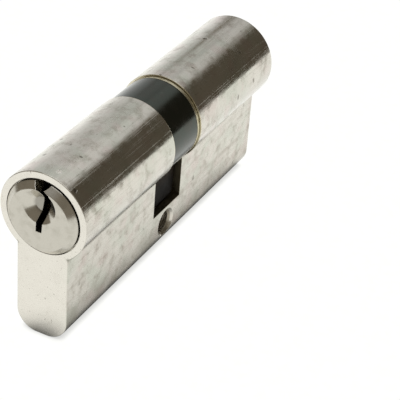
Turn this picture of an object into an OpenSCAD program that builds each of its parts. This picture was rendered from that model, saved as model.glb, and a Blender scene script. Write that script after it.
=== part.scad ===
// Double euro cylinder with a clutched cam and five pin stacks in each half.
// The plug axis is Y, the stem hangs down along -Z, and the fixing screw crosses along X.
// The origin is on the plug axis, in the plane of the fixing screw.

/* [Housing] */
// Length of the front half, from the fixing screw to its face
front_len = 35; // [29:0.5:70]
// Length of the rear half, from the fixing screw to its face
rear_len = 35; // [29:0.5:70]
// Width of the stem
stem_w = 10; // [8:0.1:12.5]
// Wall of the barrel round the plug's head
barrel_wall = 1.3; // [1:0.1:2]
// Bevel round each end of the housing
end_bevel = 0.1; // [0.1:0.05:0.4]
// Width of the recess that the cam turns in
recess_w = 10; // [8.2:0.1:14]

/* [Fixing screw] */
// Nominal diameter of the fixing screw's thread
screw_d = 5; // [4:0.1:6]
// Pitch of the thread
screw_pitch = 0.8; // [0.7:0.05:1]
// Wall left between the cam's recess and the screw hole
screw_roof = 1.1; // [0.8:0.1:3]
// Wall left below the screw hole
screw_floor = 3; // [2:0.1:5]
// Depth of the bevel at each end of the screw hole
screw_bevel = 0.8; // [0.5:0.1:1.2]

/* [Plugs] */
// Diameter of the plug
plug_d = 13; // [10.8:0.1:15.6]
// Step from the plug's body out to its head, on the radius
head_step = 0.45; // [0.4:0.05:1]
// Thickness of the head
head_len = 2; // [1.5:0.1:3]
// How far the head stands proud of the housing's face
head_proud = 1.3; // [1.1:0.1:2]
// Bevel round the head's face
head_bevel = 1.1; // [0.6:0.1:1.1]
// Radius of the key dish in the face
dish_r = 3.2; // [2:0.1:3.3]
// Depth of the key dish
dish_depth = 1.3; // [0.8:0.1:1.6]
// Radius of the flat floor of the key dish
dish_floor = 1.4; // [0.4:0.1:1.8]

/* [Pins] */
// Diameter of the pins
pin_d = 2.9; // [2.4:0.1:3.5]
// Number of pin stacks in each half
pin_count = 5; // [5]
// Distance from the face to the first pin
first_pin = 6.5; // [5:0.1:7]
// Distance between neighbouring pins
pin_pitch = 3.8; // [3.6:0.05:4.2]
// Travel of the pins
pin_travel = 2.5; // [2:0.1:3]
// Length of a key pin and its driver together
stack_len = 10.2; // [8.5:0.1:12.3]
// Wire diameter of the pin springs
wire_d = 0.4; // [0.3:0.05:0.5]
// Length of the plugs that close the pin chambers
cap_len = 2; // [1.5:0.1:3]

/* [Cam] */
// Reach of the cam from the plug axis
cam_reach = 15; // [13:0.1:18]
// Width of the cam's tongue
tongue_w = 7.8; // [6:0.1:9.4]
// Wall of the cam's ring outside its clutch slots
ring_wall = 0.7; // [0.5:0.1:1]
// Thickness of the circlips
clip_t = 0.76; // [0.6:0.02:0.9]
// Depth of the circlip groove in the plug
groove_depth = 0.7; // [0.5:0.05:0.9]

/* [Clutch] */
// Thickness of the clutch blade
blade_t = 3; // [2.4:0.1:3.6]
// Depth of blade in a plug's slot when it drives that plug
blade_grip = 1.6; // [1.3:0.1:2]
// Radius of the clutch's hub
hub_r = 2.4; // [2:0.1:2.9]

/* [Fits] */
// Clearance of a turning or sliding fit, on the radius
fit = 0.05; // [0.03:0.01:0.08]
// Clearance round the plug's head, on the radius
head_gap = 0.25; // [0.1:0.05:0.3]
// Gap between flat faces that pass each other
side_gap = 0.12; // [0.08:0.01:0.2]
// Clearance between the cam's tip and the floor of its recess
reach_gap = 0.4; // [0.3:0.05:0.6]

/* [Hidden] */
$fn = 64;
past = 1;                    // how far a cut runs past what it cuts
press = 0.01;                // radial room left round a pressed plug
plug_r = plug_d / 2;
head_r = plug_r + head_step;
barrel_r = head_r + head_gap + barrel_wall;
stem_r = stem_w / 2;
recess_z = -(cam_reach + reach_gap);
screw_r = screw_d / 2;
thread_r = screw_r - screw_pitch / 2;
screw_z = recess_z - screw_roof - screw_r;
stem_z = screw_z - screw_r - screw_floor;
stem_round = 0.8 * stem_r;    // radius of the stem's lower corners
round_z = stem_z + stem_round;

// A small drill mark on top of the barrel, near the front face.
dimple_r = 0.3;
dimple_depth = 0.2;
dimple_y = 2.1;
dimple_turn = 11;

// Keyway, across and up from the plug axis; its mouth runs out through the plug's top.
mouth_z = head_r + past;
keyway_left = [[-1.75, mouth_z], [-1.6, 7], [-1, 6.15], [-0.2, 5.35], [0.2, 4.4], [0.2, 3.3], [0, 1.9],
    [-0.3, 0.6], [-0.55, -0.5], [-0.6, -2.3]];
keyway_right = [[0.55, -2.3], [0.7, -0.5], [1.05, 0.8], [1.4, 2.2], [1.6, 3.2], [2, 4], [2.1, 4.8],
    [1.7, 5.5], [0.8, 5.95], [1.3, 6.35], [1.7, 6.9], [1.8, mouth_z]];
dish_z = 2.6;

// Each pin's tip, up from the plug axis, with the key's cuts under it.
pin_tips = [-2.6, -1.2, -2.0, -0.8, -1.8];
tip_top = max(pin_tips);
pin_r = pin_d / 2;
chamber_r = pin_r + fit;
pin_bevel = 0.4;
shear_gap = 0.1;
key_pin_z = -plug_r + shear_gap;
driver_z = -plug_r - shear_gap;
nub_r = 0.55;
nub_len = 0.7;
cap_r = chamber_r + 0.1;
cap_inset = 0.6;
cap_z = stem_z + cap_inset + cap_len;
wire_r = wire_d / 2;
coil_r = pin_r - wire_r - 0.1;
spring_gap = 0.03;
coil_turns = 7;
coil_steps = 10;
wire_sides = 6;

// The cam's ring lies against the front wall, and the rear circlip shows behind it.
wall_y = recess_w / 2;
clip_near = wall_y - side_gap;
clip_far = clip_near - clip_t;
groove_r = plug_r - groove_depth;
groove_room = 0.02;
cam_front = -wall_y + 2 * side_gap;
cam_rear = clip_far - side_gap;
slot_r = plug_r + 1;
ring_r = slot_r + ring_wall;
clip_r = plug_r + 0.8;
pocket_r = clip_r + 0.3;
plug_end = clip_far - groove_room - 2.3;
blade_free = plug_end - 0.4;
blade_low = -(plug_end + blade_grip);
blade_r = slot_r - 0.2;
slot_depth = blade_grip + 0.2;

function pin_y(i) = first_pin + i * pin_pitch;
function driver_bottom(i) = driver_z - (stack_len - (pin_tips[i] - key_pin_z));

// Turns a shape drawn along Z so that it lies along Y.
module along_y() {
    rotate([-90, 0, 0]) children();
}

// A round bar along Y, from y0 to y1.
module y_bar(r, y0, y1) {
    translate([0, y0, 0]) along_y() cylinder(r = r, h = y1 - y0);
}

// A bar along Y with both ends bevelled.
module bevelled_bar(r, y0, y1) {
    along_y() rotate_extrude() polygon([
        [0, y0], [r - end_bevel, y0], [r, y0 + end_bevel],
        [r, y1 - end_bevel], [r - end_bevel, y1], [0, y1]
    ]);
}

// A copy of what belongs to the rear half, turned round to face the other way.
module rear_side() {
    rotate([0, 0, 180]) children();
}

module stem_blank() {
    y0 = -front_len;
    y1 = rear_len;
    b = end_bevel;
    translate([0, 0, round_z]) linear_extrude(-round_z) polygon([
        [-stem_r + b, y0], [stem_r - b, y0], [stem_r, y0 + b], [stem_r, y1 - b],
        [stem_r - b, y1], [-stem_r + b, y1], [-stem_r, y1 - b], [-stem_r, y0 + b]
    ]);
    foot = stem_r - stem_round;
    translate([-foot, 0, 0]) rotate([90, 0, 90]) linear_extrude(2 * foot) polygon([
        [y0, round_z], [y0, stem_z + b], [y0 + b, stem_z],
        [y1 - b, stem_z], [y1, stem_z + b], [y1, round_z]
    ]);
    for (side = [-1, 1]) translate([side * foot, 0, round_z]) bevelled_bar(stem_round, y0, y1);
}

// What is bored out of one half: the plug's seat and the pin chambers.
module half_bores(len) {
    y_bar(plug_r + fit, -len - past, 0);
    y_bar(head_r + head_gap, -len - past, -len + head_len + side_gap);
    for (i = [0 : pin_count - 1]) translate([0, -len + pin_y(i), 0]) {
        translate([0, 0, stem_z - past]) cylinder(r = chamber_r, h = -stem_z + past);
        translate([0, 0, stem_z - past]) cylinder(r = cap_r, h = cap_z - stem_z + past);
    }
}

// The tapped hole: ring grooves at the thread's pitch, with a bevel at each mouth.
module screw_hole() {
    flank = screw_pitch * 0.38;
    tapped = stem_w - 2 * screw_bevel;
    grooves = floor(tapped / screw_pitch);
    first = -(grooves - 1) * screw_pitch / 2;
    mouth_r = thread_r + screw_bevel;
    rotate([0, 90, 0]) rotate_extrude() polygon(concat(
        [[0, -stem_r - past], [mouth_r, -stem_r - past]],
        [[mouth_r, -stem_r], [thread_r, -stem_r + screw_bevel]],
        [for (i = [0 : grooves - 1], k = [-1 : 1])
            [k == 0 ? screw_r : thread_r, first + i * screw_pitch + k * flank]],
        [[thread_r, stem_r - screw_bevel], [mouth_r, stem_r], [mouth_r, stem_r + past], [0, stem_r + past]]
    ));
}

module housing() {
    color([0.78, 0.77, 0.73]) difference() {
        union() {
            bevelled_bar(barrel_r, -front_len, rear_len);
            stem_blank();
        }
        half_bores(front_len);
        rear_side() half_bores(rear_len);
        translate([-barrel_r - past, -wall_y, recess_z])
            cube([2 * (barrel_r + past), recess_w, barrel_r - recess_z + past]);
        translate([0, 0, screw_z]) screw_hole();
        rotate([0, dimple_turn, 0]) translate([0, -front_len + dimple_y, barrel_r - dimple_depth])
            cylinder(r1 = 0.05, r2 = 2 * dimple_r, h = 2 * dimple_depth);
    }
}

module chamber_caps(len) {
    color([0.72, 0.6, 0.35]) for (i = [0 : pin_count - 1])
        translate([0, -len + pin_y(i), stem_z + cap_inset]) cylinder(r = cap_r - press, h = cap_len);
}

// The turned blank of a plug: bevelled head, body, circlip groove and inner end.
module plug_blank(len) {
    face = -len - head_proud;
    groove_near = -clip_near - groove_room;
    groove_far = -clip_far + groove_room;
    lead = 0.3;
    along_y() rotate_extrude() polygon([
        [0, face], [head_r - head_bevel, face], [head_r, face + head_bevel],
        [head_r, -len + head_len], [plug_r, -len + head_len],
        [plug_r, groove_near], [groove_r, groove_near], [groove_r, groove_far], [plug_r, groove_far],
        [plug_r, -plug_end - lead], [plug_r - lead, -plug_end], [0, -plug_end]
    ]);
}

module keyway(len) {
    rotate([90, 0, 0]) linear_extrude(len + head_proud + past) polygon(concat(keyway_left, keyway_right));
}

module plug(len) {
    color([0.72, 0.71, 0.67]) difference() {
        plug_blank(len);
        keyway(len);
        translate([0, -len - head_proud, dish_z]) along_y()
            cylinder(r1 = dish_r, r2 = dish_floor, h = dish_depth);
        for (i = [0 : pin_count - 1]) translate([0, -len + pin_y(i), -plug_r - past])
            cylinder(r = chamber_r, h = plug_r + past + tip_top + pin_travel + 0.3);
        translate([-plug_r - past, -plug_end - slot_depth, -blade_t / 2 - side_gap])
            cube([2 * (plug_r + past), slot_depth + past, blade_t + 2 * side_gap]);
        y_bar(hub_r + 0.3, -plug_end - slot_depth, -plug_end + past);
    }
}

// An open spring ring in the plug's groove; its gap faces down and away to the left.
module circlip(outer_r) {
    gap = 3.2;
    color([0.75, 0.66, 0.45]) difference() {
        y_bar(outer_r, -clip_near, -clip_far);
        y_bar(groove_r + fit, -clip_near - past, -clip_far + past);
        rotate([0, 30, 0]) translate([-gap / 2, -clip_near - past, -outer_r - past])
            cube([gap, clip_t + 2 * past, outer_r + past]);
    }
}

module cam() {
    tip_bevel = 0.6;
    color([0.16, 0.16, 0.17]) difference() {
        union() {
            y_bar(ring_r, cam_front, cam_rear);
            intersection() {
                translate([-tongue_w / 2, cam_front, -cam_reach])
                    cube([tongue_w, cam_rear - cam_front, cam_reach]);
                along_y() rotate_extrude() polygon([
                    [0, cam_front], [cam_reach - tip_bevel, cam_front], [cam_reach, cam_front + tip_bevel],
                    [cam_reach, cam_rear - tip_bevel], [cam_reach - tip_bevel, cam_rear], [0, cam_rear]
                ]);
            }
        }
        y_bar(plug_r + fit, cam_front - past, cam_rear + past);
        y_bar(pocket_r, cam_front - past, -clip_far + side_gap);
        translate([-slot_r, cam_front - past, -blade_t / 2 - side_gap])
            cube([2 * slot_r, cam_rear - cam_front + 2 * past, blade_t + 2 * side_gap]);
    }
}

// One sliding piece: a blade that rides in the cam's slots and a hub that the key's tip pushes.
module clutch() {
    color([0.55, 0.56, 0.58]) {
        translate([-blade_r, blade_low, -blade_t / 2]) cube([2 * blade_r, blade_free - blade_low, blade_t]);
        y_bar(hub_r, blade_low, blade_free);
    }
}

// A pointed key pin, standing on the shear line.
module key_pin(len, i) {
    tip_z = pin_tips[i];
    cone = 1;
    color([0.8, 0.65, 0.35]) translate([0, -len + pin_y(i), 0]) rotate_extrude() polygon([
        [0, key_pin_z], [pin_r - pin_bevel, key_pin_z], [pin_r, key_pin_z + pin_bevel],
        [pin_r, tip_z - cone], [0.35, tip_z], [0, tip_z]
    ]);
}

// A driver with bevelled ends and a nub that centres its spring.
module driver(len, i) {
    bottom = driver_bottom(i);
    color([0.74, 0.74, 0.76]) translate([0, -len + pin_y(i), 0]) rotate_extrude() polygon([
        [0, bottom - nub_len], [nub_r, bottom - nub_len], [nub_r, bottom], [pin_r - pin_bevel, bottom],
        [pin_r, bottom + pin_bevel], [pin_r, driver_z - pin_bevel], [pin_r - pin_bevel, driver_z], [0, driver_z]
    ]);
}

// A helical spring from the chamber's cap up to the driver.
module spring(len, i) {
    low = cap_z + spring_gap + wire_r;
    high = driver_bottom(i) - spring_gap - wire_r;
    steps = coil_turns * coil_steps;
    points = [for (s = [0 : steps], k = [0 : wire_sides - 1])
        let (turn = 360 * s / coil_steps, around = 360 * k / wire_sides, r = coil_r + wire_r * cos(around))
        [r * cos(turn), r * sin(turn), low + (high - low) * s / steps + wire_r * sin(around)]];
    sides = [for (s = [0 : steps - 1], k = [0 : wire_sides - 1], half = [0, 1])
        let (a = s * wire_sides + k, b = s * wire_sides + (k + 1) % wire_sides)
        half == 0 ? [a, a + wire_sides, b + wire_sides] : [a, b + wire_sides, b]];
    first_end = [for (k = [0 : wire_sides - 1]) k];
    last_end = [for (k = [wire_sides - 1 : -1 : 0]) steps * wire_sides + k];
    color([0.8, 0.8, 0.82]) translate([0, -len + pin_y(i), 0])
        polyhedron(points, concat(sides, [first_end, last_end]), convexity = 10);
}

housing();
chamber_caps(front_len);  // front_chamber_caps
rear_side() chamber_caps(rear_len);  // rear_chamber_caps
plug(front_len);  // front_plug
rear_side() plug(rear_len);  // rear_plug
circlip(clip_r);  // front_circlip
rear_side() circlip(ring_r);  // rear_circlip
cam();
clutch();
key_pin(front_len, 0);  // front_key_pin_1
key_pin(front_len, 1);  // front_key_pin_2
key_pin(front_len, 2);  // front_key_pin_3
key_pin(front_len, 3);  // front_key_pin_4
key_pin(front_len, 4);  // front_key_pin_5
rear_side() key_pin(rear_len, 0);  // rear_key_pin_1
rear_side() key_pin(rear_len, 1);  // rear_key_pin_2
rear_side() key_pin(rear_len, 2);  // rear_key_pin_3
rear_side() key_pin(rear_len, 3);  // rear_key_pin_4
rear_side() key_pin(rear_len, 4);  // rear_key_pin_5
driver(front_len, 0);  // front_driver_1
driver(front_len, 1);  // front_driver_2
driver(front_len, 2);  // front_driver_3
driver(front_len, 3);  // front_driver_4
driver(front_len, 4);  // front_driver_5
rear_side() driver(rear_len, 0);  // rear_driver_1
rear_side() driver(rear_len, 1);  // rear_driver_2
rear_side() driver(rear_len, 2);  // rear_driver_3
rear_side() driver(rear_len, 3);  // rear_driver_4
rear_side() driver(rear_len, 4);  // rear_driver_5
spring(front_len, 0);  // front_spring_1
spring(front_len, 1);  // front_spring_2
spring(front_len, 2);  // front_spring_3
spring(front_len, 3);  // front_spring_4
spring(front_len, 4);  // front_spring_5
rear_side() spring(rear_len, 0);  // rear_spring_1
rear_side() spring(rear_len, 1);  // rear_spring_2
rear_side() spring(rear_len, 2);  // rear_spring_3
rear_side() spring(rear_len, 3);  // rear_spring_4
rear_side() spring(rear_len, 4);  // rear_spring_5
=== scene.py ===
import bpy, math
from mathutils import Matrix, Vector


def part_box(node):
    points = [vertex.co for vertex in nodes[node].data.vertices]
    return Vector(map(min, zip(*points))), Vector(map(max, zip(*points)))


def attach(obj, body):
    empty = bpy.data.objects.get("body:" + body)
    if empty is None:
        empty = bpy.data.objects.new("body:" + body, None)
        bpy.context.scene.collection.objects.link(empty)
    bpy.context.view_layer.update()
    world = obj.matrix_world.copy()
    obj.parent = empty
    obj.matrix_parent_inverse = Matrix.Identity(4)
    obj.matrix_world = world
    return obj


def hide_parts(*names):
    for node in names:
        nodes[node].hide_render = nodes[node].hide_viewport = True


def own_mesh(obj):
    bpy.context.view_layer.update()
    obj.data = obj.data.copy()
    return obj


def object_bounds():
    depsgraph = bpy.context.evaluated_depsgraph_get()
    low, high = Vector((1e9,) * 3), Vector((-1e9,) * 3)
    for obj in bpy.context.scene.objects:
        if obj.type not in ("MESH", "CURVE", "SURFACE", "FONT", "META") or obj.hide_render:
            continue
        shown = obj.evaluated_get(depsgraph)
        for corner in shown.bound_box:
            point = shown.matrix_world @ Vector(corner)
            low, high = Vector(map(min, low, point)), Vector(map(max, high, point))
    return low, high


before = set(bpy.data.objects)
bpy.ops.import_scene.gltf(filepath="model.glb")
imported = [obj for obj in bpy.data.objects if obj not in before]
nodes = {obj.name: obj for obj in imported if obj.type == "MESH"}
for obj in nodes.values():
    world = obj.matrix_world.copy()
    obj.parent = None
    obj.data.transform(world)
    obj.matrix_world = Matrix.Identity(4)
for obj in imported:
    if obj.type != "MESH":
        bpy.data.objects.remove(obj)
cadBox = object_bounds()
scene = bpy.context.scene
mm = 0.001
perMm = 1000  # a pattern's Scale for cells one millimetre wide
print("frame loaded:", len(nodes), "pieces")


def linear(hexColour):
    # an sRGB hex value as linear RGBA
    parts = [int(hexColour[i:i + 2], 16) / 255 for i in (1, 3, 5)]
    return [p / 12.92 if p <= 0.04045 else ((p + 0.055) / 1.055) ** 2.4 for p in parts] + [1.0]


def add(tree, kind, settings=None, **links):
    # adds a node: settings are its properties, or the fixed values of sockets by name or number, and links name
    # the node or socket that feeds a socket, with _ for a space and iN for socket number N
    made = tree.nodes.new("ShaderNode" + kind)
    values = dict(settings or {})
    for key in [k for k in values if isinstance(k, str) and hasattr(made, k)]:
        setattr(made, key, values.pop(key))
    # the stops of a ramp are its places and how light it is there
    for place, tone in values.pop("stops", []):
        ends = made.color_ramp.elements
        stop = ends[0] if place == 0 else ends[-1] if place == 1 else ends.new(place)
        stop.color = [tone] * 3 + [1]
    for key, value in values.items():
        made.inputs[key].default_value = value
    for key, source in links.items():
        key = int(key[1:]) if key[0] == "i" and key[1:].isdigit() else key.replace("_", " ")
        if isinstance(source, bpy.types.Node):
            source = next(s for s in source.outputs if s.enabled)
        tree.links.new(source, made.inputs[key])
    return made


# Map Range takes sockets 1 and 2 to sockets 3 and 4, and soft eases it. Math works on sockets 0 and 1. Mix has
# its colours in sockets 6 and 7 and its numbers in sockets 2 and 3.
soft = {"interpolation_type": "SMOOTHSTEP"}
plus, minus, times = {"operation": "ADD"}, {"operation": "SUBTRACT"}, {"operation": "MULTIPLY"}
most, unsigned = {"operation": "MAXIMUM"}, {"operation": "ABSOLUTE"}
inDegrees, bearing = {"operation": "DEGREES"}, {"operation": "ARCTAN2"}
lengthOf, scaled = {"operation": "LENGTH"}, {"operation": "SCALE", "Scale": perMm}
colours, numbers = {"data_type": "RGBA"}, {"data_type": "FLOAT"}

# The camera's direction in degrees, its place from the fixing screw's plane in mm, and its lens and sensor in mm.
camera = {"azimuth": 25.225, "elevation": 33.126, "roll": 4.857, "distance": 270.38, "across": 9.594,
          "up": -13.171, "lens": 132.957, "sensor": 36, "clip": (0.01, 20)}


def makeCamera(look):
    azimuth, elevation, roll = (math.radians(look[k]) for k in ("azimuth", "elevation", "roll"))
    flat = math.cos(elevation)
    back = Vector((math.sin(azimuth) * flat, -math.cos(azimuth) * flat, math.sin(elevation)))
    right = Vector((math.cos(azimuth), math.sin(azimuth), 0))
    up = back.cross(right)
    side = right * math.cos(roll) + up * math.sin(roll)
    top = up * math.cos(roll) - right * math.sin(roll)
    data = bpy.data.cameras.new("camera")
    data.sensor_width, data.lens = look["sensor"], look["lens"]
    data.clip_start, data.clip_end = look["clip"]
    made = bpy.data.objects.new("camera", data)
    made.matrix_world = Matrix((side.to_4d(), top.to_4d(), back.to_4d(), (0, 0, 0, 1))).transposed()
    made.matrix_world.translation = (back * look["distance"] + side * look["across"] + top * look["up"]) * mm
    scene.collection.objects.link(made)
    scene.camera = made


makeCamera(camera)
scene.view_settings.view_transform = "Standard"
print("camera made")

# The room: a bright backdrop behind on the left, a ceiling light, and dim walls elsewhere. Pairs are angles in
# degrees, round from straight behind or up from level, over which one light turns into another. The two lists
# are the backdrop's light, from level to overhead and from the left round to the right.
studio = {"backdropFrom": (-74, -58), "backdropTo": (30, 60), "leftBright": (-35, -27), "ceilingLean": 0.28,
          "ceilingEdge": (29.5, 35.5), "wall": 0.095, "sideWall": 0.24, "sides": (78, 100), "fill": 0.42,
          "fillRound": (130, 160), "fillUp": (38, 50), "ceiling": 1.5, "ceilingUp": (54, 68), "seen": 1.1,
          "shade": "#ffeed2", "shadeLight": (0.12, 0.5),
          "byHeight": [(0, 0.98), (0.08, 0.83), (0.16, 0.71), (0.25, 0.66), (0.33, 0.65), (0.4, 0.6),
                       (0.46, 0.76), (0.6, 0.8), (1, 0.8)],
          "strip": [(0, 1.0), (0.39, 1.0), (0.42, 0.84), (0.445, 1.04), (0.53, 1.0), (1, 1.0)]}


def makeWorld(look):
    world = bpy.data.worlds.new("softStudio")
    scene.world = world
    world.use_nodes = True
    tree = world.node_tree
    tree.nodes.clear()
    way = add(tree, "SeparateXYZ", Vector=add(tree, "TexCoord").outputs["Generated"])
    turn = add(tree, "Math", inDegrees, i0=add(
        tree, "Math", bearing, i0=way.outputs["X"], i1=way.outputs["Y"]))
    rise = add(tree, "Math", inDegrees, i0=add(
        tree, "Math", {"operation": "ARCSINE"}, i0=way.outputs["Z"]))
    aside = add(tree, "Math", unsigned, i0=turn)
    # the backdrop's light by height, with a dimmer strip a little left of its middle
    byHeight = add(tree, "ValToRGB", {"stops": look["byHeight"]}, Fac=add(
        tree, "MapRange", {2: 90}, Value=rise))
    strip = add(tree, "ValToRGB", {"stops": look["strip"]}, Fac=add(
        tree, "MapRange", {1: -90, 2: 90}, Value=turn))
    backdrop = add(tree, "Math", times, i0=byHeight, i1=strip)
    # where it shows: above the leaning edge of the back wall, and at every height on the far left
    low, high = look["ceilingEdge"]
    lean = add(tree, "Math", minus, i0=rise, i1=add(tree, "Math", {**times, 1: look["ceilingLean"]}, i0=turn))
    above = add(tree, "MapRange", {**soft, 1: low, 2: high}, Value=lean)
    low, high = look["leftBright"]
    left = add(tree, "MapRange", {**soft, 1: low, 2: high, 3: 1, 4: 0}, Value=turn)
    low, high = look["backdropFrom"]
    start = add(tree, "MapRange", {**soft, 1: low, 2: high}, Value=turn)
    low, high = look["backdropTo"]
    end = add(tree, "MapRange", {**soft, 1: low, 2: high, 3: 1, 4: 0}, Value=turn)
    shown = add(tree, "Math", times, i0=add(tree, "Math", most, i0=above, i1=left),
                i1=add(tree, "Math", times, i0=start, i1=end))
    # walls: darkest behind, lighter at the sides, with a weak fill light high in front
    low, high = look["sides"]
    walls = add(tree, "MapRange", {**soft, 1: low, 2: high, 3: look["wall"], 4: look["sideWall"]}, Value=aside)
    low, high = look["fillRound"]
    front = add(tree, "MapRange", {**soft, 1: low, 2: high}, Value=aside)
    low, high = look["fillUp"]
    front = add(tree, "Math", times, i0=front, i1=add(tree, "MapRange", {**soft, 1: low, 2: high}, Value=rise))
    walls = add(tree, "Mix", {**numbers, 3: look["fill"]}, i0=front, i2=walls)
    room = add(tree, "Mix", numbers, i0=shown, i2=walls, i3=backdrop)
    low, high = look["ceilingUp"]
    room = add(tree, "Mix", {**numbers, 3: look["ceiling"]}, i2=room,
               i0=add(tree, "MapRange", {**soft, 1: low, 2: high}, Value=rise))
    light = add(tree, "Mix", {**numbers, 3: look["seen"]}, i2=room,
                i0=add(tree, "LightPath").outputs["Is Camera Ray"])
    low, high = look["shadeLight"]
    tint = add(tree, "Mix", {**colours, 6: linear(look["shade"]), 7: linear("#ffffff")},
               i0=add(tree, "MapRange", {**soft, 1: low, 2: high}, Value=light))
    add(tree, "OutputWorld", Surface=add(tree, "Background", Color=tint, Strength=light))


makeWorld(studio)
print("studio made")

# Matt white paper, lit to pure white, with a thin shadow where the foot meets it. The metal mirrors a wider and
# darker shade there. Sizes and places are in mm, and contactFrom and mirroredFrom are how open to the room the
# paper is, from darkest to fully lit.
floorLook = {"half": 300, "paper": "#f8f8f6", "grain": "#f2f2ef", "grainWidth": 1.5, "lit": 1.06, "seen": 1.12,
             "contact": 1.6, "contactFrom": (0.2, 0.88), "contactLight": 0.7, "mirrored": 10,
             "mirroredFrom": (0.42, 0.93), "mirroredLight": 0.07, "leftFrom": (-20, -60), "leftLight": 1.05,
             "rearFrom": (-15, 35), "rearLight": 1.1}


def makeFloor(look):
    bpy.ops.object.select_all(action="DESELECT")
    bpy.ops.mesh.primitive_plane_add(size=2 * look["half"] * mm, location=(0, 0, cadBox[0].z))
    bpy.ops.object.transform_apply()
    floor = bpy.context.object
    floor.name = "floor"
    paper = bpy.data.materials.new("mattPaper")
    paper.use_nodes = True
    tree = paper.node_tree
    tree.nodes.clear()
    at = add(tree, "TexCoord").outputs["Object"]
    grain = add(tree, "TexNoise", {"Scale": perMm / look["grainWidth"], "Detail": 3}, Vector=at)
    tone = add(tree, "Mix", {**colours, 6: linear(look["grain"]), 7: linear(look["paper"])}, i0=grain)
    openness = add(tree, "AmbientOcclusion", {"Distance": look["contact"] * mm}).outputs["AO"]
    low, high = look["contactFrom"]
    contact = add(tree, "MapRange", {**soft, 1: low, 2: high, 3: look["contactLight"], 4: look["seen"]},
                  Value=openness)
    openness = add(tree, "AmbientOcclusion", {"Distance": look["mirrored"] * mm}).outputs["AO"]
    low, high = look["mirroredFrom"]
    mirrored = add(tree, "MapRange", {**soft, 1: low, 2: high, 3: look["mirroredLight"], 4: look["lit"]},
                   Value=openness)
    # the lamps light the paper more strongly far to the left and towards the rear
    place = add(tree, "SeparateXYZ", Vector=at)
    start, end = look["leftFrom"]
    left = add(tree, "MapRange", {**soft, 1: start * mm, 2: end * mm, 3: 1, 4: look["leftLight"]},
               Value=place.outputs["X"])
    start, end = look["rearFrom"]
    rear = add(tree, "MapRange", {**soft, 1: start * mm, 2: end * mm, 3: 1, 4: look["rearLight"]},
               Value=place.outputs["Y"])
    mirrored = add(tree, "Math", times, i0=mirrored, i1=add(tree, "Math", times, i0=left, i1=rear))
    light = add(tree, "Mix", numbers, i2=mirrored, i3=contact,
                i0=add(tree, "LightPath").outputs["Is Camera Ray"])
    add(tree, "OutputMaterial", Surface=add(tree, "Emission", Color=tone, Strength=light))
    floor.data.materials.append(paper)


makeFloor(floorLook)
print("floor made")

# Pin springs: round wire with a closed coil at each end, wound at the length they have at rest. Wire and coil are
# radii in mm, and travel is how far a driver pushes.
springLook = {"wire": 0.2, "coil": 1.15, "closedPitch": 0.42, "turns": 6, "steps": 20, "sides": 8, "merge": 0.01,
              "smoothBelow": 50, "travel": 2.5, "perSide": 5}


def windCoil(look, low, pitch, turns):
    # one length of open tube, wound from its round section
    bpy.ops.mesh.primitive_circle_add(vertices=look["sides"], radius=look["wire"] * mm,
                                      rotation=(math.pi / 2, 0, 0), location=(look["coil"] * mm, 0, low))
    bpy.ops.object.transform_apply()
    coil = bpy.context.object
    wind = coil.modifiers.new("wind", "SCREW")
    wind.axis, wind.angle, wind.screw_offset, wind.iterations = "Z", 2 * math.pi, pitch, turns
    wind.steps = wind.render_steps = look["steps"]
    bpy.ops.object.modifier_apply(modifier=wind.name)
    return coil


def makeSpring(look, low, high):
    bpy.ops.object.select_all(action="DESELECT")
    low, high, closed = low + look["wire"] * mm, high - look["wire"] * mm, look["closedPitch"] * mm
    openPitch = (high - low - 2 * closed) / look["turns"]
    parts = [windCoil(look, low, closed, 1), windCoil(look, low + closed, openPitch, look["turns"]),
             windCoil(look, high - closed, closed, 1)]
    for part in parts:
        part.select_set(True)
    bpy.ops.object.join()
    bpy.ops.object.mode_set(mode="EDIT")
    bpy.ops.mesh.select_all(action="SELECT")
    bpy.ops.mesh.remove_doubles(threshold=look["merge"] * mm)
    bpy.ops.mesh.select_all(action="DESELECT")
    # the two open ends of the wire are filled
    bpy.ops.mesh.select_mode(type="EDGE")
    bpy.ops.mesh.select_non_manifold()
    bpy.ops.mesh.edge_face_add()
    bpy.ops.mesh.select_all(action="SELECT")
    bpy.ops.mesh.normals_make_consistent(inside=False)
    bpy.ops.object.mode_set(mode="OBJECT")
    bpy.ops.object.shade_smooth_by_angle(angle=math.radians(look["smoothBelow"]))
    return bpy.context.object


def placeSprings(look):
    foot, top = (corner.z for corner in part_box("front_spring_1"))
    master = makeSpring(look, foot, top)
    springs = []
    for side in ("front", "rear"):
        for number in range(1, look["perSide"] + 1):
            name = f"{side}_spring_{number}"
            low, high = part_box(name)
            length = high.z - low.z
            copy = master.copy()
            copy.data = master.data.copy()
            copy.name = f"{side}PinSpring{number}"
            # the same spring, pressed to this chamber's length and set on its cap
            press = Matrix.Diagonal((1, 1, length / (top - foot), 1))
            seat = Matrix.Translation(((low.x + high.x) / 2, (low.y + high.y) / 2, low.z))
            copy.data.transform(seat @ press @ Matrix.Translation((0, 0, -foot)))
            scene.collection.objects.link(copy)
            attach(copy, "housing")
            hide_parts(name)
            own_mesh(copy)
            springs.append(copy)
    bpy.data.objects.remove(master)
    return springs


springs = placeSprings(springLook)
print("springs wound:", len(springs))


def startFinish(name):
    # an empty node material, its tree, and the place on the piece
    made = bpy.data.materials.new(name)
    made.use_nodes = True
    made.node_tree.nodes.clear()
    return made, made.node_tree, add(made.node_tree, "TexCoord").outputs["Object"]


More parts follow.
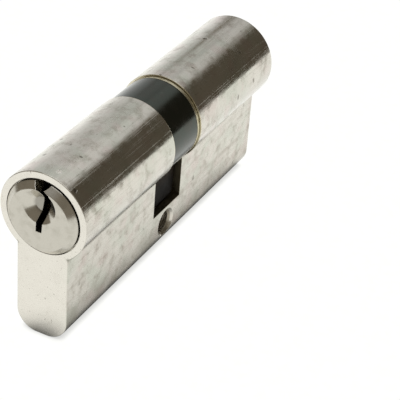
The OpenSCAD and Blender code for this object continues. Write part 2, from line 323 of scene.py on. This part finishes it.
# Brass bar drawn to the lock's section, cut and nickel plated: bright and stained like an old coin, with fine
# lines from the die along its length and dings. The end faces are painted paler as a painted reflection, worn
# edges at the recess show bare brass that is also a painted glint, the recess, the screw hole and the foot of the
# stem's sides carry painted shade, and the dimple a painted glint.
# Places are in mm from the plugs' axis and the screw hole's plane, and width is how wide each pattern's marks are.
housingFinish = {
    "plate": "#d5d1c7", "ends": "#ede9df", "film": "#c8cabd", "blush": "#d0c5bd", "stain": "#9c9587",
    "speck": "#6a6357", "cornerDark": "#57503f", "brassAndGlint": "#ebe4cd", "insideShade": "#7d745f", "foot": "#857b6b",
    "dimpleGlint": "#f4f2ea", "roughness": 0.115, "flank": 0.13, "round": 0.14, "ridges": [(58.5, 0.015), (-71, 0.015)],
    "width": {"cloud": 2.4, "film": 5.5, "blush": 3.6, "streak": 0.8, "line": 0.34, "shake": 0.5, "ding": 3.3,
              "fleck": 0.45, "rubbed": 2.6, "saw": 0.3, "wave": 2.1},
    "halfStem": 5, "stemTop": 6.874, "halfRecess": 5, "recessLow": 15.5, "screwHole": 19, "holeRadius": 2.6,
    "camRadius": 8, "dimple": (1.63, -32.9, 8.34), "dimpleRadius": 0.56}


def makeHousingFinish(look):
    made, tree, at = startFinish("nickelPlatedBrassDrawn")
    width = look["width"]
    # the place in mm, the distances from the middle across and along, and the ends and the stem's flat sides
    atMm = add(tree, "VectorMath", scaled, i0=at)
    inMm = add(tree, "SeparateXYZ", Vector=atMm)
    z = inMm.outputs["Z"]
    across = add(tree, "Math", unsigned, i0=inMm.outputs["X"])
    along = add(tree, "Math", unsigned, i0=inMm.outputs["Y"])
    facing = add(tree, "SeparateXYZ", Vector=add(tree, "NewGeometry").outputs["True Normal"])
    endOn = add(tree, "MapRange", {**soft, 1: 0.6, 2: 0.9}, Value=add(
        tree, "Math", unsigned, i0=facing.outputs["Y"]))
    sideOn = add(tree, "MapRange", {**soft, 1: 0.93, 2: 0.99}, Value=add(
        tree, "Math", unsigned, i0=facing.outputs["X"]))
    flank = add(tree, "Math", times, i0=sideOn, i1=add(
        tree, "MapRange", {**soft, 1: -8, 2: -6.5, 3: 1, 4: 0}, Value=z))
    # cloudy stains, and a thin film and a blush over larger areas
    cloud = add(tree, "TexNoise", {"Scale": perMm / width["cloud"], "Detail": 6, "Roughness": 0.64}, Vector=at)
    film = add(tree, "TexNoise", {"Scale": perMm / width["film"], "Detail": 3}, Vector=at)
    blush = add(tree, "TexNoise", {"Scale": perMm / width["blush"], "Detail": 3}, Vector=add(
        tree, "Mapping", {"Location": (0.03, 0.01, 0.02)}, Vector=at))
    # the die's marks: broad streaks, and fine lines, drawn coarser than on real bar so that they show
    drawn = add(tree, "Mapping", {"Scale": (1, 1 / 60, 1)}, Vector=at)
    streak = add(tree, "TexNoise", {"Scale": perMm / width["streak"], "Detail": 2}, Vector=drawn)
    line = add(tree, "TexNoise", {"Scale": perMm / width["line"], "Detail": 3, "Roughness": 0.6}, Vector=drawn)
    colour = add(tree, "Mix", {**colours, 6: linear(look["plate"]), 7: linear(look["film"])}, i0=add(
        tree, "MapRange", {**soft, 1: 0.42, 2: 0.66, 4: 0.75}, Value=film))
    colour = add(tree, "Mix", {**colours, 7: linear(look["blush"])}, i6=colour, i0=add(
        tree, "MapRange", {**soft, 1: 0.5, 2: 0.7, 4: 0.7}, Value=blush))
    colour = add(tree, "Mix", {**colours, 7: linear(look["stain"])}, i6=colour, i0=add(
        tree, "MapRange", {**soft, 1: 0.46, 2: 0.78, 4: 0.7}, Value=cloud))
    colour = add(tree, "Mix", {**colours, 7: linear(look["stain"])}, i6=colour, i0=add(
        tree, "MapRange", {**soft, 1: 0.5, 2: 0.75, 4: 0.25}, Value=streak))
    # painted reflection: the end faces are painted paler, standing in for the brighter reflection they catch
    colour = add(tree, "Mix", {**colours, 7: linear(look["ends"])}, i6=colour, i0=add(
        tree, "Math", {**times, 1: 0.85}, i0=endOn))
    # dings, about one to every three millimetres each way, and dark flecks
    shaken = add(tree, "TexNoise", {"Scale": perMm / width["shake"], "Detail": 2}, Vector=at).outputs["Color"]
    shaken = add(tree, "VectorMath", {"operation": "SCALE", "Scale": 0.55 * mm}, i0=shaken)
    cell = add(tree, "TexVoronoi", {"Scale": perMm / width["ding"]}, Vector=add(
        tree, "Mapping", {"Scale": (1, 1, 0.6)}, Vector=add(tree, "VectorMath", plus, i0=at, i1=shaken)))
    chosen = add(tree, "MapRange", {**soft, 1: 0.62, 2: 0.66}, Value=add(
        tree, "SeparateColor", Color=cell.outputs["Color"]))
    ding = add(tree, "Math", times, i0=chosen, i1=add(
        tree, "MapRange", {**soft, 1: 0.06, 2: 0.16, 3: 1, 4: 0}, Value=cell.outputs["Distance"]))
    colour = add(tree, "Mix", {**colours, 7: linear(look["speck"])}, i6=colour, i0=add(
        tree, "Math", {**times, 1: 0.75}, i0=ding))
    fleck = add(tree, "TexNoise", {"Scale": perMm / width["fleck"], "Detail": 2}, Vector=at)
    colour = add(tree, "Mix", {**colours, 7: linear(look["speck"])}, i6=colour, i0=add(
        tree, "MapRange", {**soft, 1: 0.66, 2: 0.78, 4: 0.6}, Value=fleck))
    # painted shade: the stem's sides are painted browner and darker towards their foot, broken up by the film
    # pattern
    foot = add(tree, "Math", times, i0=flank, i1=add(
        tree, "MapRange", {**soft, 1: -16.5, 2: -21, 4: 0.45}, Value=z))
    foot = add(tree, "Math", times, i0=foot, i1=add(
        tree, "MapRange", {**soft, 1: 0.36, 2: 0.62, 3: 0.3}, Value=film))
    colour = add(tree, "Mix", {**colours, 7: linear(look["foot"])}, i6=colour, i0=foot)
    # darker along the corner where the barrel meets the stem
    outside = add(tree, "Math", unsigned, i0=add(tree, "Math", {**minus, 1: look["halfStem"]}, i0=across))
    below = add(tree, "Math", unsigned, i0=add(tree, "Math", {**plus, 1: look["stemTop"]}, i0=z))
    corner = add(tree, "Math", plus, i0=outside, i1=below)
    colour = add(tree, "Mix", {**colours, 7: linear(look["cornerDark"])}, i6=colour, i0=add(
        tree, "MapRange", {**soft, 1: 0.05, 2: 0.7, 3: 0.5, 4: 0}, Value=corner))
    # bare brass, rubbed through in places along the barrel's edges at the recess, painted pale so that it is also
    # a painted glint on these edges
    edge = add(tree, "Math", unsigned, i0=add(tree, "Math", {**minus, 1: look["halfRecess"]}, i0=along))
    rubbed = add(tree, "Math", times, i0=add(tree, "MapRange", {**soft, 1: 0.08, 2: 0.2, 3: 1, 4: 0}, Value=edge),
                 i1=add(tree, "MapRange", {**soft, 1: -8.4, 2: -7.6}, Value=z))
    rubbed = add(tree, "Math", times, i0=rubbed, i1=add(tree, "MapRange", {**soft, 1: 0.4, 2: 0.6}, Value=add(
        tree, "TexNoise", {"Scale": perMm / width["rubbed"], "Detail": 2}, Vector=at)))
    colour = add(tree, "Mix", {**colours, 7: linear(look["brassAndGlint"])}, i6=colour, i0=rubbed)
    # painted shade: the recess is cut through to bare brass and painted dark as shade, except for a band round the
    # cam's ring that keeps the pale brass as a painted glint of the edge, and the screw hole is painted dark as
    # shade too
    half, low = look["halfRecess"], -look["recessLow"]
    inRecess = add(tree, "MapRange", {1: half + 0.01, 2: half + 0.03, 3: 1, 4: 0}, Value=along)
    inRecess = add(tree, "Math", times, i0=inRecess, i1=add(tree, "MapRange", {1: low, 2: low + 0.05}, Value=z))
    fromScrew = add(tree, "VectorMath", lengthOf, i0=add(
        tree, "CombineXYZ", X=inMm.outputs["Y"], Y=add(tree, "Math", {**plus, 1: look["screwHole"]}, i0=z)))
    high = look["holeRadius"]
    inHole = add(tree, "MapRange", {**soft, 1: high - 0.25, 2: high, 3: 0.7, 4: 0},
                 Value=fromScrew.outputs["Value"])
    fromAxis = add(tree, "VectorMath", lengthOf, i0=add(tree, "CombineXYZ", X=inMm.outputs["X"], Y=z))
    low = look["camRadius"]
    roundCam = add(tree, "MapRange", {**soft, 1: low, 2: low + 0.2}, Value=fromAxis.outputs["Value"])
    roundCam = add(tree, "Math", times, i0=roundCam, i1=add(tree, "MapRange", {**soft, 1: -7, 2: -6.4}, Value=z))
    colour = add(tree, "Mix", {**colours, 7: linear(look["brassAndGlint"])}, i6=colour, i0=inRecess)
    inRecess = add(tree, "Math", times, i0=inRecess, i1=add(tree, "MapRange", {3: 1, 4: 0.12}, Value=roundCam))
    paintedInsideShade = add(tree, "Math", most, i0=inRecess, i1=inHole)
    colour = add(tree, "Mix", {**colours, 7: linear(look["insideShade"])}, i6=colour, i0=paintedInsideShade)
    # painted highlight: the dimple on top near the front is painted a pale white, which is no metal, as a painted
    # glint
    fromDimple = add(tree, "VectorMath", {"operation": "DISTANCE", 1: look["dimple"]}, i0=atMm)
    high = look["dimpleRadius"]
    paintedGlint = add(tree, "MapRange", {**soft, 1: high - 0.14, 2: high, 3: 1, 4: 0}, Value=fromDimple.outputs["Value"])
    colour = add(tree, "Mix", {**colours, 7: linear(look["dimpleGlint"])}, i6=colour, i0=paintedGlint)
    # relief: rounded edges, slow waves of the drawn bar, the lines, saw marks on the ends, and the dings
    saw = add(tree, "TexNoise", {"Scale": perMm / width["saw"], "Detail": 3}, Vector=add(
        tree, "Mapping", {"Scale": (1, 1, 0.45)}, Vector=at))
    wave = add(tree, "TexNoise", {"Scale": perMm / width["wave"], "Detail": 3, "Roughness": 0.4}, Vector=add(
        tree, "Mapping", {"Scale": (1, 0.35, 1)}, Vector=at))
    normal = add(tree, "Bevel", {"samples": 4, "Radius": look["round"] * mm})
    normal = add(tree, "Bump", {"Distance": 0.05 * mm}, Height=wave, Normal=normal, Strength=add(
        tree, "MapRange", {3: 0.55, 4: 0.12}, Value=flank))
    # ridges that a nick in the die has left along the whole barrel, by their angle from the top
    turned = add(tree, "Math", inDegrees, i0=add(
        tree, "Math", bearing, i0=inMm.outputs["X"], i1=z))
    for angle, height in look["ridges"]:
        away = add(tree, "Math", unsigned, i0=add(tree, "Math", {**minus, 1: angle}, i0=turned))
        ridge = add(tree, "Math", times, i0=add(tree, "MapRange", {1: 0, 2: 0.9, 3: 1, 4: 0}, Value=away),
                    i1=add(tree, "MapRange", {3: 1, 4: 0}, Value=endOn))
        normal = add(tree, "Bump", {"Strength": 1, "Distance": height * mm}, Height=ridge, Normal=normal)
    normal = add(tree, "Bump", {"Strength": 0.3, "Distance": 0.014 * mm}, Normal=normal, Height=add(
        tree, "Mix", numbers, i0=endOn, i2=line, i3=saw))
    normal = add(tree, "Bump", {"Strength": 0.8, "Distance": 0.06 * mm, "invert": True}, Height=ding,
                 Normal=normal)
    # rougher on the stains, the lines, the stem's sides, the painted shade inside the recess and hole, and the
    # painted glint in the dimple
    low = look["roughness"]
    rough = add(tree, "MapRange", {**soft, 1: 0.35, 2: 0.75, 3: low, 4: low + 0.18}, Value=cloud)
    rough = add(tree, "Math", plus, i0=rough, i1=add(
        tree, "MapRange", {**soft, 1: 0.56, 2: 0.72, 4: 0.22}, Value=line))
    rough = add(tree, "Math", plus, i0=rough, i1=add(tree, "Math", {**times, 1: look["flank"]}, i0=flank))
    rough = add(tree, "Math", plus, i0=rough, i1=add(tree, "Math", {**times, 1: 0.3}, i0=add(
        tree, "Math", most, i0=paintedInsideShade, i1=paintedGlint)))
    metal = add(tree, "MapRange", {3: 1, 4: 0}, Value=paintedGlint)
    add(tree, "OutputMaterial", Surface=add(tree, "BsdfPrincipled", Base_Color=colour, Metallic=metal,
                                            Roughness=rough, Normal=normal))
    return made


# Turned brass, nickel plated and lightly polished: even and bright, with faint rings from the lathe and scratches
# that keys have left. The keyway is painted dark as painted shade, which fades in between two distances from the
# middle, in mm.
plugFinish = {"plate": "#ccc8bd", "dull": "#b0aca0", "mouth": "#3a352c", "mouthFrom": (34.6, 35.4),
              "roughness": 0.15, "round": 0.18, "rings": 0.14, "cloud": 1.8, "scratch": 0.22}


def makePlugFinish(look):
    made, tree, at = startFinish("nickelPlatedBrassTurned")
    place = add(tree, "SeparateXYZ", Vector=at)
    radius = add(tree, "VectorMath", lengthOf, i0=add(
        tree, "CombineXYZ", X=place.outputs["X"], Z=place.outputs["Z"])).outputs["Value"]
    rings = add(tree, "TexNoise", {"Scale": perMm / look["rings"], "Detail": 2}, Vector=add(
        tree, "CombineXYZ", X=radius))
    cloud = add(tree, "TexNoise", {"Scale": perMm / look["cloud"], "Detail": 4}, Vector=at)
    scratch = add(tree, "TexNoise", {"Scale": perMm / look["scratch"], "Detail": 3}, Vector=add(
        tree, "Mapping", {"Scale": (1, 1, 0.33)}, Vector=at))
    colour = add(tree, "Mix", {**colours, 6: linear(look["plate"]), 7: linear(look["dull"])}, i0=add(
        tree, "MapRange", {**soft, 1: 0.42, 2: 0.75, 4: 0.5}, Value=cloud))
    # painted shade inside the keyway
    low, high = look["mouthFrom"]
    deep = add(tree, "MapRange", {**soft, 1: low * mm, 2: high * mm, 3: 0.85, 4: 0}, Value=add(
        tree, "Math", unsigned, i0=place.outputs["Y"]))
    colour = add(tree, "Mix", {**colours, 7: linear(look["mouth"])}, i6=colour, i0=deep)
    normal = add(tree, "Bevel", {"samples": 4, "Radius": look["round"] * mm})
    normal = add(tree, "Bump", {"Strength": 0.2, "Distance": 0.01 * mm}, Height=rings, Normal=normal)
    normal = add(tree, "Bump", {"Strength": 0.2, "Distance": 0.012 * mm}, Height=scratch, Normal=normal)
    low = look["roughness"]
    rough = add(tree, "MapRange", {**soft, 1: 0.35, 2: 0.7, 3: low, 4: low + 0.08}, Value=cloud)
    add(tree, "OutputMaterial", Surface=add(tree, "BsdfPrincipled", {"Metallic": 1.0}, Base_Color=colour,
                                            Roughness=rough, Normal=normal))
    return made


# Sintered steel, steam blackened and oiled: near-black with a soft shine, grey where it has rubbed, and dull on
# the tongue, which is painted browner and darker as painted shade, darkest at its tip. Real pores are finer. The
# tongue and its painted darker tip begin over a range of radii in mm.
camFinish = {"black": "#4b504a", "warm": "#4f504a", "tongue": "#2c2113", "tongueFrom": (8.3, 8.9),
             "tip": "#0f0b06", "tipFrom": (9, 12), "rubbed": "#8d8982", "roughness": 0.13, "round": 0.12,
             "cloud": 2.2, "wear": 0.9, "pores": 0.12}


def makeCamFinish(look):
    made, tree, at = startFinish("sinteredSteelBlackened")
    place = add(tree, "SeparateXYZ", Vector=at)
    radius = add(tree, "VectorMath", lengthOf, i0=add(
        tree, "CombineXYZ", X=place.outputs["X"], Z=place.outputs["Z"])).outputs["Value"]
    low, high = look["tongueFrom"]
    tongue = add(tree, "MapRange", {**soft, 1: low * mm, 2: high * mm}, Value=radius)
    cloud = add(tree, "TexNoise", {"Scale": perMm / look["cloud"], "Detail": 4}, Vector=at)
    wear = add(tree, "TexNoise", {"Scale": perMm / look["wear"], "Detail": 5, "Roughness": 0.7}, Vector=at)
    pores = add(tree, "TexNoise", {"Scale": perMm / look["pores"], "Detail": 2}, Vector=at)
    colour = add(tree, "Mix", {**colours, 6: linear(look["black"]), 7: linear(look["warm"])}, i0=add(
        tree, "MapRange", {**soft, 1: 0.4, 2: 0.7}, Value=cloud))
    colour = add(tree, "Mix", {**colours, 7: linear(look["rubbed"])}, i6=colour, i0=add(
        tree, "MapRange", {**soft, 1: 0.66, 2: 0.82, 4: 0.5}, Value=wear))
    # painted shade on the tongue, darkening towards its tip
    low, high = look["tipFrom"]
    shadeTowardsTip = add(tree, "Mix", {**colours, 6: linear(look["tongue"]), 7: linear(look["tip"])}, i0=add(
        tree, "MapRange", {1: low * mm, 2: high * mm}, Value=radius))
    colour = add(tree, "Mix", colours, i6=colour, i7=shadeTowardsTip, i0=tongue)
    normal = add(tree, "Bump", {"Strength": 0.25, "Distance": 0.01 * mm}, Height=pores, Normal=add(
        tree, "Bevel", {"samples": 4, "Radius": look["round"] * mm}))
    low = look["roughness"]
    rough = add(tree, "MapRange", {**soft, 1: 0.3, 2: 0.7, 3: low, 4: low + 0.08}, Value=cloud)
    rough = add(tree, "Math", plus, i0=rough, i1=add(tree, "Math", {**times, 1: 0.45}, i0=tongue))
    add(tree, "OutputMaterial", Surface=add(tree, "BsdfPrincipled", {"Metallic": 1.0}, Base_Color=colour,
                                            Roughness=rough, Normal=normal))
    return made


# Small parts in plain metals: their tone, the darker film on it, the width of its patches in mm, and roughness.
# Turned brass pins are yellow and shiny, pressed brass caps duller, ground steel drivers bright grey, drawn
# spring wire a little duller, the passivated circlips pale straw, and the bare sintered clutch dull grey.
plainMetals = {
    "turnedBrass": {"tone": "#d9bd7c", "film": "#a8854a", "patch": 0.9, "roughness": 0.24},
    "pressedBrass": {"tone": "#cfb06c", "film": "#8f7440", "patch": 0.7, "roughness": 0.36},
    "groundSteel": {"tone": "#c3c5c6", "film": "#94979a", "patch": 0.8, "roughness": 0.18},
    "drawnSpringWire": {"tone": "#b9bcbf", "film": "#8b8e91", "patch": 0.5, "roughness": 0.26},
    "passivatedSpringSteel": {"tone": "#d3cdb4", "film": "#a59b7a", "patch": 0.8, "roughness": 0.24},
    "sinteredSteelBare": {"tone": "#a1a2a3", "film": "#6f7072", "patch": 0.6, "roughness": 0.38},
}


def makePlainMetal(name, look):
    made, tree, at = startFinish(name)
    cloud = add(tree, "TexNoise", {"Scale": perMm / look["patch"], "Detail": 4}, Vector=at)
    # marks that the tool left round each piece, 0.1 mm apart
    turned = add(tree, "TexNoise", {"Scale": perMm / 0.1, "Detail": 2}, Vector=add(
        tree, "Mapping", {"Scale": (0.17, 0.17, 1)}, Vector=at))
    colour = add(tree, "Mix", {**colours, 6: linear(look["tone"]), 7: linear(look["film"])}, i0=add(
        tree, "MapRange", {**soft, 1: 0.45, 2: 0.75, 4: 0.8}, Value=cloud))
    low = look["roughness"]
    rough = add(tree, "MapRange", {**soft, 1: 0.3, 2: 0.7, 3: low, 4: low + 0.12}, Value=cloud)
    normal = add(tree, "Bump", {"Strength": 0.3, "Distance": 0.008 * mm}, Height=turned)
    add(tree, "OutputMaterial", Surface=add(tree, "BsdfPrincipled", {"Metallic": 1.0}, Base_Color=colour,
                                            Roughness=rough, Normal=normal))
    return made


finishes = {"housing": makeHousingFinish(housingFinish), "plug": makePlugFinish(plugFinish),
            "cam": makeCamFinish(camFinish)}
finishes.update({name: makePlainMetal(name, look) for name, look in plainMetals.items()})
# which finish a piece has, by the first of these words in its name. Pring is in both spring and Spring
finishOf = {"housing": "housing", "caps": "pressedBrass", "circlip": "passivatedSpringSteel",
            "key_pin": "turnedBrass", "driver": "groundSteel", "pring": "drawnSpringWire",
            "clutch": "sinteredSteelBare", "plug": "plug", "cam": "cam"}


def wearFinish(piece):
    word = next(w for w in finishOf if w in piece.name)
    piece.data.materials.clear()
    piece.data.materials.append(finishes[finishOf[word]])


for piece in list(nodes.values()) + springs:
    wearFinish(piece)
print("finishes made")
